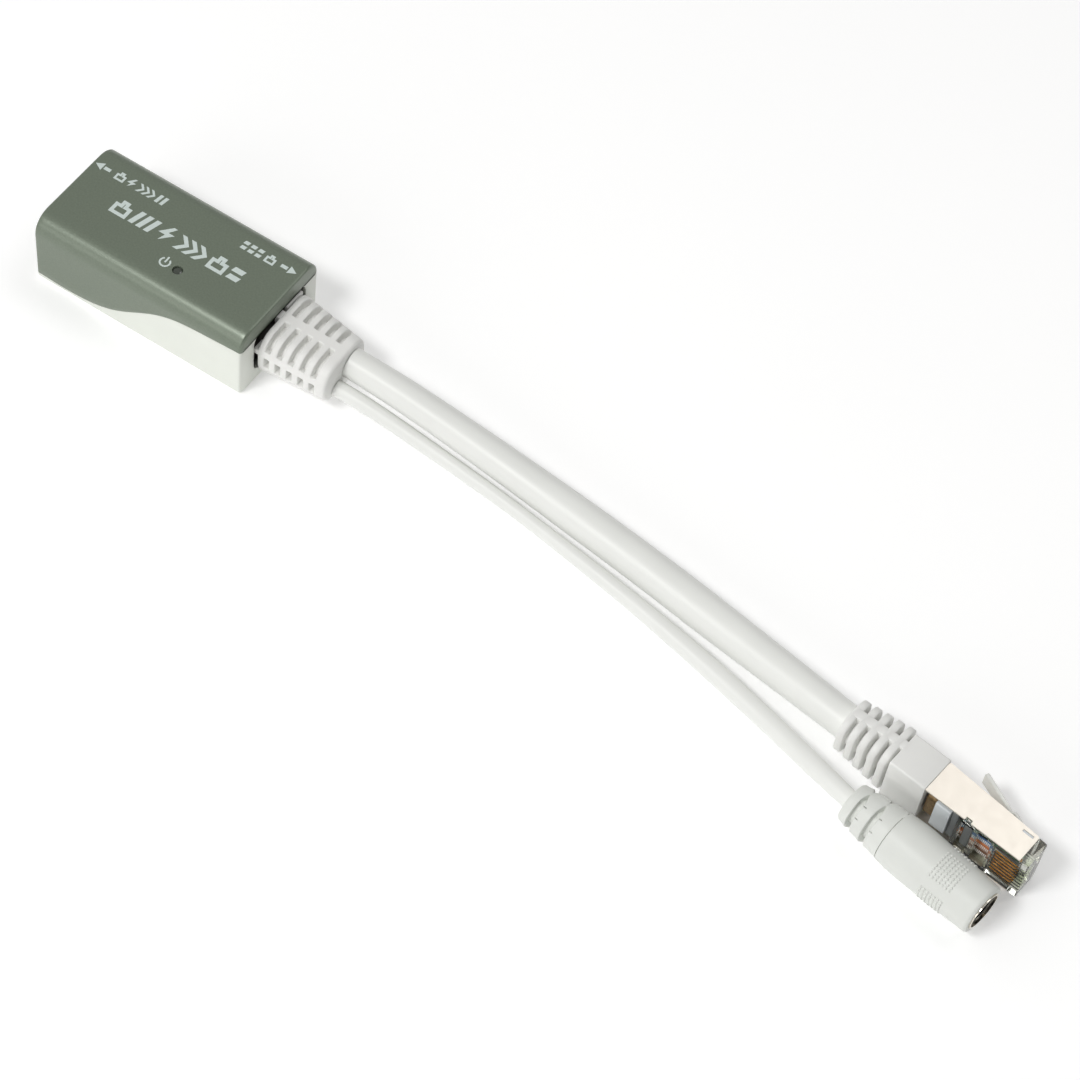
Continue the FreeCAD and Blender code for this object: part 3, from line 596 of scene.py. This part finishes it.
def printed_marks():
    """Arrows, the power sign and plain pictograms where the lettering was."""
    z0, z1 = CASE_H - 0.02, CASE_H + 0.018
    bm = bmesh.new()

    def bar(x, y, w, h, slant=0.0):
        prism(bm, [(x, y), (x + w, y), (x + w + slant * h, y + h), (x + slant * h, y + h)], z0, z1)

    def arrow(x, y, way):
        prism(bm, [(x + way * 1.9, y - 1.0), (x + way * 3.7, y), (x + way * 1.9, y + 1.0)], z0, z1)
        near, far = sorted((x, x + way * 1.55))
        bar(near, y - 0.42, far - near, 0.84)

    def port(x, y, size, line):
        outer = [(x, y), (x + size, y), (x + size, y + size * 0.72), (x + size * 0.72, y + size * 0.72),
                 (x + size * 0.72, y + size), (x + size * 0.28, y + size), (x + size * 0.28, y + size * 0.72),
                 (x, y + size * 0.72)]
        centre = (x + size / 2, y + size * 0.45)
        inner = []
        for px, py in outer:
            inner.append((px + line * (1 if px < centre[0] else -1),
                          py + line * (1 if py < centre[1] else -1)))
        frame_strip(bm, outer, inner, z0, z1)

    def bolt(x, y, size):
        shape = [(0.55, 1.0), (0.05, 0.42), (0.42, 0.42), (0.3, 0.0), (0.85, 0.6), (0.5, 0.6), (0.75, 1.0)]
        prism(bm, [(x + size * a, y + size * b) for a, b in reversed(shape)], z0, z1)

    def chevron(x, y, size, line):
        prism(bm, [(x, y), (x + line, y), (x + line + size * 0.45, y + size / 2), (x + line, y + size),
                   (x, y + size), (x + size * 0.45, y + size / 2)], z0, z1)

    arrow(-21.0, 6.4, -1)
    arrow(20.5, 7.25, 1)
    port(-19.6, 5.3, 2.3, 0.46)
    bolt(-16.9, 5.25, 2.4)
    for i in range(3):
        chevron(-14.2 + 1.35 * i, 5.35, 2.2, 0.62)
    for i in range(2):
        bar(-9.5 + 1.25 * i, 5.35, 0.75, 2.2, 0.15)
    for i in range(3):
        for k in range(2):
            bar(11.2 + 1.75 * i, 6.0 + 1.35 * k, 1.2, 0.85, 0.2)
    port(16.9, 6.0, 2.3, 0.46)
    port(-15.3, -2.0, 4.0, 0.8)
    for i in range(3):
        bar(-10.6 + 1.9 * i, -1.9, 1.15, 3.7, 0.28)
    bolt(-4.3, -2.1, 4.3)
    for i in range(3):
        chevron(0.4 + 2.2 * i, -1.9, 3.8, 1.15)
    port(8.5, -2.0, 4.0, 0.8)
    for i in range(2):
        bar(13.3, -1.7 + 2.0 * i, 2.6, 1.25, 0.28)
    outer = []
    inner = []
    for i in range(33):
        turn = math.radians(90 + 38 + (360 - 76) * i / 32.0)
        outer.append((1.7 + 1.25 * math.cos(turn), -5.85 + 1.25 * math.sin(turn)))
        inner.append((1.7 + 0.87 * math.cos(turn), -5.85 + 0.87 * math.sin(turn)))
    for i in range(32):
        prism(bm, [outer[i], outer[i + 1], inner[i + 1], inner[i]], z0, z1)
    bar(1.51, -5.95, 0.38, 1.6)
    bmesh.ops.remove_doubles(bm, verts=bm.verts[:], dist=0.0005)
    marks = make_object("cover_marks", mesh_from(bm, "cover_marks"), PRINT)
    piece(marks)


printed_marks()


def status_light():
    bm = bmesh.new()
    top = CASE_H - 0.42
    outline = [(5.6, 0.9), (12.0, 0.9), (14.2, 0.98), (14.2, 1.68), (15.5, 1.68),
               (15.5, 0.98), (top - 0.25, 0.98)]
    outline += [(top + 0.22 * math.sin(t), 0.98 * math.cos(t)) for t in (0.15, 0.5, 0.9, 1.3, 1.5)]
    turned(bm, outline, 40, "z", LIGHT_AT)
    lens = make_object("status_light", mesh_from(bm, "status_light"), LENS_DARK)
    piece(lens, ["status_lens"])


status_light()


# ---------------------------------------------------------------- strain relief at the case
SLOT_HALF, SLOT_SOFT, SLOT_DEPTH = 0.6, 0.3, 1.7
SLOT_MIDDLES = [28.05 + 2.67 * i for i in range(5)]
SLOT_CORNER, SLOT_SLOPE = 0.3, 24.0
BOOT_ROUND = 4.4
WEB_TOP, WEB_FOOT, FOOT_LEVEL, FAR_FOOT = 10.15, 8.5, 5.7, 8.1
TOP_WEB = (1.35, -0.9)


def boot_outline(x):
    """The boot's outline at x with its arc lengths: wide upper corners, tighter lower ones."""
    share = (x - BOOT_X0) / (BOOT_X1 - BOOT_X0)
    y0, y1, z0, z1 = [a + (b - a) * share for a, b in zip(BOOT_NEAR, BOOT_FAR)]
    low = 2.6 + 1.7 * share
    points = []
    for y, z, radius, start in ((y1 - BOOT_ROUND, z1 - BOOT_ROUND, BOOT_ROUND, 0),
                                (y0 + BOOT_ROUND, z1 - BOOT_ROUND, BOOT_ROUND, 90),
                                (y0 + low, z0 + low, low, 180), (y1 - low, z0 + low, low, 270)):
        for i in range(25):
            turn = math.radians(start + 90.0 * i / 24)
            points.append((y + radius * math.cos(turn), z + radius * math.sin(turn)))
    points = np.array(points + points[:1])
    lengths = np.concatenate([[0.0], np.cumsum(np.hypot(*np.diff(points, axis=0).T))])
    return points, lengths


def slot_spans(points, lengths):
    """Arc lengths between which the slots run: beside the top web and under each flank web."""
    y, z = points.T
    far = float(np.interp(WEB_TOP, z[:25], lengths[:25]))
    top = [float(np.interp(-edge, -y[24:26], lengths[24:26])) for edge in TOP_WEB]
    near = [float(np.interp(-level, -z[25:75], lengths[25:75])) for level in (WEB_TOP, WEB_FOOT, FOOT_LEVEL)]
    low = [float(np.interp(level, z[75:101], lengths[75:101])) for level in (FOOT_LEVEL, FAR_FOOT)]
    return [(far, top[0]), (top[1], near[0]), (near[1], near[2]), (low[0], low[1])]


def slot_inset(x, at, spans):
    """How far the skin is pushed in at a place, with softened rims and rounded slot corners."""
    into_x = SLOT_HALF - min(abs(x - middle) for middle in SLOT_MIDDLES)
    best = -9.0
    for start, end in spans:
        into_s = min(at - start, end - at)
        inside = min(into_x, into_s)
        if into_x < SLOT_CORNER and into_s < SLOT_CORNER:
            inside = SLOT_CORNER - math.hypot(SLOT_CORNER - into_x, SLOT_CORNER - into_s)
        best = max(best, inside)
    if best <= -SLOT_SOFT:
        return 0.0
    if best <= 0.0:
        return SLOT_SOFT - math.sqrt(SLOT_SOFT ** 2 - (best + SLOT_SOFT) ** 2)
    return min(SLOT_SOFT + best * SLOT_SLOPE, SLOT_DEPTH)


def boot_skin(bm):
    """Ringed sleeve as one skin whose slots are pressed in."""
    steps = [-0.3, -0.24, -0.17, -0.1, -0.05, -0.015, 0.0, 0.06, 0.12, 0.3]
    xs = {BOOT_X0: 0.25, BOOT_X0 + 0.07: 0.12, BOOT_X0 + 0.16: 0.04, BOOT_X0 + 0.3: 0.0,
          BOOT_X1 - 0.8: 0.0, BOOT_X1 - 0.55: 0.04, BOOT_X1 - 0.32: 0.14, BOOT_X1 - 0.12: 0.35, BOOT_X1: 0.7}
    for middle in SLOT_MIDDLES:
        for step in steps:
            xs[round(middle - SLOT_HALF + step, 4)] = 0.0
            xs[round(middle + SLOT_HALF - step, 4)] = 0.0
    rings = []
    for x in sorted(xs):
        points, lengths = boot_outline(x)
        total = lengths[-1]
        spans = slot_spans(points, lengths)
        ends = sorted(v for span in spans for v in span)
        stops = []
        for end, after in zip(ends, ends[1:] + [ends[0] + total]):
            stops += [end + step for step in (0.0, 0.015, 0.05, 0.1, 0.17, 0.24, 0.3)]
            gap = after - end - 0.6
            stops += [end + 0.3 + gap * j / 14.0 for j in range(1, 14)]
            stops += [after - step for step in (0.3, 0.24, 0.17, 0.1, 0.05, 0.015)]
        ring = []
        for at in stops:
            at %= total
            y, z = (float(np.interp(at, lengths, points[:, k])) for k in (0, 1))
            y2, z2 = (float(np.interp((at + 0.01) % total, lengths, points[:, k])) for k in (0, 1))
            run = math.hypot(y2 - y, z2 - z)
            push = max(slot_inset(x, at, spans), xs[x])
            ring.append((x, y - (z2 - z) / run * push, z + (y2 - y) / run * push))
        rings.append(ring)
    loft(bm, rings)


def strain_relief():
    """The ringed boot with its ribs at the case, and the neck inside the opening, coloured dark grey as
    painted shade for the gap behind the rim.
    """
    bm = bmesh.new()
    boot_skin(bm)
    slab_x(bm, 25.0, 26.2, -8.2, 8.0, 8.55, 9.9, 0.2, 0.08)
    slab_x(bm, 24.9, 26.2, -0.9, 1.3, 9.0, 12.75, 0.2, 0.08)
    slab_x(bm, 24.9, 25.7, 2.3, 7.6, 9.0, 12.7, 0.3, 0.08)
    boot = make_object("boot_moulding", mesh_from(bm, "boot"), BOOT_WHITE, 50.0)
    piece(boot, ["strain_relief"])
    # the neck and flange inside the opening get a dark grey as painted shade for the gap behind the rim
    bm = bmesh.new()
    slab_x(bm, 22.9, 26.3, -6.2, 8.0, 4.4, 10.6, 2.6, 0.2)
    slab_x(bm, 21.95, 23.4, -9.8, 11.1, 1.9, 14.6, 2.0, 0.2)
    neck = make_object("boot_neck", mesh_from(bm, "neck"), NECK_PAINTED_SHADE, 50.0)
    piece(neck, ["strain_relief"])


strain_relief()


# ---------------------------------------------------------------- data plug
COLLAR_L, FIN_PITCH, FINS = 8.2, 2.45, 5
CORE_PITCH, CORE_R = 1.016, 0.43


def plug_boot():
    """Five fins that thin towards their rims, a web along the top and foot, and the square collar."""
    bm = bmesh.new()
    rear = -COLLAR_L - 1.35 - FIN_PITCH * (FINS - 1)
    for i in range(FINS):
        rings = []
        for off, inset in ((-0.98, 1.5), (-0.9, 0.75), (-0.8, 0.3), (-0.7, 0.1), (-0.55, 0.0),
                           (0.55, 0.0), (0.7, 0.1), (0.8, 0.3), (0.9, 0.75), (0.98, 1.5)):
            half_y, half_z = 4.5 + 0.16 * i - inset, 5.1 + 0.24 * i - inset
            pairs = rounded_rect(0.9 - half_y, 0.9 + half_y, -half_z, half_z, 2.7 - 0.7 * inset, 10)
            rings.append([(rear + FIN_PITCH * i + off, y, z) for y, z in pairs])
        loft(bm, rings)
    turned(bm, [(rear - 0.3, 3.3), (rear, 3.45), (-7.5, 3.5)], 48, "x", (0.9, 0.0))
    for side in (-1, 1):
        rings = []
        for x, peak in ((rear - 0.2, 5.12), (-7.6, 6.2)):
            near, far = sorted((side * 3.0, side * peak))
            rings.append([(x, y, z) for y, z in rounded_rect(-0.15, 1.95, near, far, 0.2, 2)])
        loft(bm, rings)
    slab_x(bm, -COLLAR_L, 0.0, -4.15, 4.3, -6.2, 6.2, 0.45, 0.15)
    boot = make_object("plug_boot_moulding", mesh_from(bm, "plug_boot"), BOOT_WHITE, 50.0)
    boot.matrix_world = PLUG_FRAME
    piece(boot, ["plug_boot"])
    return boot


def plug_wires():
    """Eight insulated cores, four plain and four with a tracer."""
    tones = [srgb(120, 82, 56), srgb(196, 112, 58), srgb(62, 108, 158), srgb(66, 132, 104)]
    ground = srgb(226, 226, 220)
    made = []
    for i in range(8):
        z = (i - 3.5) * CORE_PITCH
        tone = tones[i // 2]
        mat = material("core_%d" % i, tone, rough=0.35) if i % 2 else striped("core_%d" % i, tone, ground)
        bm = bmesh.new()
        rings = []
        for x in np.linspace(8.2, 21.3, 40):
            ease = 1.0 - min(max((x - 8.2) / 4.0, 0.0), 1.0)
            lift = 0.25 * math.sin(x * 1.7 + i) * ease
            ring = []
            for k in range(16):
                turn = 2 * math.pi * k / 16
                ring.append((float(x), -2.0 + CORE_R * math.cos(turn) + lift, z + CORE_R * math.sin(turn)))
            rings.append(ring)
        loft(bm, rings)
        wire = make_object("plug_core_%d" % (i + 1), mesh_from(bm, "core"), mat)
        wire.matrix_world = PLUG_FRAME
        made.append(wire)
    for wire in made:
        piece(wire, ["plug_wires"])
    return made


def plug_guide():
    """The wire guide in its three tones, and the keys in the shield's windows."""
    bm = bmesh.new()
    slab_x(bm, 2.7, 6.1, -3.75, 2.6, -3.9, 3.9, 0.35, 0.15)
    guide = make_object("plug_guide_block", mesh_from(bm, "guide"), GUIDE_WHITE)
    guide.matrix_world = PLUG_FRAME
    bm = bmesh.new()
    slab_x(bm, 0.4, 2.75, -3.0, 2.4, -3.6, 3.6, 1.6, 0.3)
    foil = make_object("plug_screen_foil", mesh_from(bm, "foil"), BRAID)
    foil.matrix_world = PLUG_FRAME
    bm = bmesh.new()
    slab_x(bm, 6.15, 7.7, -3.1, 2.2, -4.3, 4.3, 0.3, 0.15)
    slab_x(bm, 9.2, 10.9, -3.0, -2.5, -4.1, 4.1, 0.25, 0.1)
    tail = make_object("plug_guide_tail", mesh_from(bm, "tail"), GUIDE_GREY)
    tail.matrix_world = PLUG_FRAME
    bm = bmesh.new()
    for side in (-1, 1):
        near, far = sorted((side * 5.2, side * 5.8))
        slab_x(bm, 18.25, 20.55, 1.38, 1.87, near, far, 0.1, 0.05)
    keys = make_object("plug_window_keys", mesh_from(bm, "keys"), GUIDE_WHITE)
    keys.matrix_world = PLUG_FRAME
    piece(keys)
    piece(guide, ["plug_wire_guide"])
    piece(tail, ["plug_wire_guide"])
    piece(foil, ["plug_wire_guide"])
    return [guide, tail, foil, keys]


def plug_latch():
    """Springy lever on the outward side of the line from its root to its tip, ridged near the tip."""
    root, tip, thick = Vector((21.2, 1.8)), Vector((5.5, 8.9)), 0.85
    way = (tip - root).normalized()
    off = Vector((way.y, -way.x))
    if off.y > 0:
        off = -off
    length = (tip - root).length
    bm = bmesh.new()
    rings = []
    for i in range(41):
        share = i / 40.0
        at = root + way * (length * share)
        bow = 0.2 * math.sin(math.pi * share)
        at = at - off * bow
        half = 2.95 if share < 0.42 else (2.95 - 1.35 * min((share - 0.42) / 0.08, 1.0))
        body = thick * (0.8 + 0.2 * share)
        ring = []
        for a, b in rounded_rect(-half, half, 0.0, body, 0.18, 3):
            spot = at - off * b
            ring.append((spot.x, spot.y, a))
        rings.append(ring)
    loft(bm, rings)
    for i in range(4):
        spot = tip - way * (0.4 + 0.75 * i) - off * 0.82
        slab_z(bm, spot.x - 0.2, spot.x + 0.2, spot.y - 0.2, spot.y + 0.12, -1.5, 1.5, 0.12, 0.08)
    latch = make_object("plug_latch_lever", mesh_from(bm, "latch"), FROST)
    latch.matrix_world = PLUG_FRAME
    piece(latch, ["plug_latch"], "latch")
    return latch


PLUG_PIECES = [plug_boot(), plug_latch()] + plug_wires() + plug_guide()


# ---------------------------------------------------------------- power socket
CRESCENTS_AT = (2.6, 6.3)
CRESCENT_HALF = 0.58
NICKS_AT = (109.0, 143.5)
PARTING_AT = 10.12
BORE_R = 4.12


def socket_radius(s):
    """The socket's radius at a distance from its lead end."""
    xs = [0.0, 0.35, 4.0, 9.6, 13.0, 17.0, 24.0, 31.0, 31.4]
    rs = [3.9, 4.2, 4.75, 5.3, 5.6, 5.65, 5.45, 5.2, 4.9]
    return float(np.interp(s, xs, rs))


def crescent(degrees):
    """How far an angle lies inside the two slotted sides, in degrees."""
    best = 0.0
    for start in (73.0, 253.0):
        past = (degrees - start) % 360.0
        best = max(best, min(past, 164.0 - past))
    return best


def socket_body():
    """Turned moulding with crescent slots that narrow to points, and two nicks at each slot."""
    segments = 240
    plain = [0.0, 0.1, 0.2, 0.35, 0.7, 30.6, 31.0, 31.2, 31.35, 31.4]
    plain += [float(v) for v in np.arange(1.0, 30.6, 0.5)]
    plain += [middle + step for middle in CRESCENTS_AT for step in (0.78, 1.0, 1.3, 1.36)]
    plain += [10.0, 10.05, 10.12, 10.19, 10.24]
    stations = [(s, 0.0, 0.0, 0.0) for s in sorted(plain)
                if not any(-0.85 < s - middle < 0.76 for middle in CRESCENTS_AT)]
    for middle in CRESCENTS_AT:
        for way in (-1, 1):
            stations += [(middle, way, 0.12, 0.0), (middle, way, 0.05, 0.03), (middle, way, 0.0, 0.1),
                         (middle, way, -0.04, 1.3)]
    stations.sort(key=lambda r: r[0] + r[1] * (CRESCENT_HALF + r[2]))
    smooth = {}
    for s, *_ in stations:
        near = [socket_radius(s + d) for d in (-0.9, -0.45, 0.0, 0.45, 0.9)]
        smooth[s] = sum(near) / 5.0 if 1.5 < s < 30.3 else socket_radius(s)
    bm = bmesh.new()
    rings = []
    for s, way, more, sink in stations:
        ring = []
        for i in range(segments):
            degrees = 360.0 * i / segments
            inside = crescent(degrees)
            half = CRESCENT_HALF * min(1.0, inside / 30.0) ** 0.7
            radius = smooth[s] - sink * min(1.0, half / 0.12)
            along = s + way * (half + more)
            nick = min(abs((degrees - middle) % 180.0) for middle in NICKS_AT) < 1.6
            if nick and any(0.2 < along - middle < 1.32 for middle in CRESCENTS_AT):
                radius = min(radius, smooth[s] - 0.55)
            if abs(s - PARTING_AT) < 0.1 and inside > 0.0:
                radius -= 0.45
            if s < 10.05:
                radius -= 0.12
            turn = math.radians(degrees)
            ring.append((along, radius * math.cos(turn), radius * math.sin(turn)))
        rings.append(ring)
    for s in (31.4, 24.0, 16.0):
        turns = [2 * math.pi * i / segments for i in range(segments)]
        rings.append([(s, BORE_R * math.cos(turn), BORE_R * math.sin(turn)) for turn in turns])
    loft(bm, rings)
    body = make_object("socket_moulding", mesh_from(bm, "socket"), SOCKET_WHITE, 40.0)
    body.matrix_world = SOCKET_FRAME
    piece(body, ["socket_body"])
    return body


def socket_grips():
    """Four patches of small raised dots with plain bars between them."""
    bm = bmesh.new()
    for patch in (12.0, 102.0, 192.0, 282.0):
        for row in range(9):
            for column in range(7):
                s = 20.6 + 0.78 * column
                turn = math.radians(patch - 30.0 + 7.5 * row)
                radius = socket_radius(s) - 0.03
                at = Vector((s, radius * math.cos(turn), radius * math.sin(turn)))
                out = Vector((0, math.cos(turn), math.sin(turn)))
                around = out.cross(Vector((1, 0, 0)))
                rings = []
                for height, reach in ((-0.1, 0.27), (0.1, 0.26), (0.2, 0.19), (0.24, 0.08)):
                    turns = [2 * math.pi * k / 10 for k in range(10)]
                    rings.append([at + out * height
                                  + (Vector((1, 0, 0)) * math.cos(t) + around * math.sin(t)) * reach
                                  for t in turns])
                loft(bm, rings)
    dots = make_object("socket_grip_dots", mesh_from(bm, "dots"), SOCKET_WHITE, 60.0)
    dots.matrix_world = SOCKET_FRAME
    piece(dots)
    return dots


SOCKET_PIECES = [socket_body(), socket_grips()]


# ---------------------------------------------------------------- finishes of the carried-over nodes
FINISHES = {
    "circuit_board": BOARD, "jack_shield": JACK_METAL, "jack_housing": BLACK, "jack_contacts": GOLD,
    "jack_pins": SOLDER, "magnetics_module": BLACK, "magnetics_pins": SOLDER, "filter_capacitor": CAN,
    "choke_core": FERRITE, "choke_winding": COPPER, "surge_diodes": BLACK, "input_fuse": CASE_WHITE,
    "status_led": LAMP, "plug_shield": PLUG_METAL, "plug_body": CLEAR, "plug_contacts": GOLD,
    "socket_barrel": NICKEL, "socket_insulator": BLACK, "socket_centre_pin": NICKEL, "socket_spring": NICKEL,
    "socket_terminals": SOLDER,
}
for node, finish in FINISHES.items():
    NODES[node].data.materials.clear()
    NODES[node].data.materials.append(finish)
for node, tone in (("board_data_wires", srgb(60, 110, 160)), ("board_power_wires", srgb(170, 40, 36))):
    NODES[node].data.materials.clear()
    NODES[node].data.materials.append(material(node + "_fine", tone, rough=0.38))
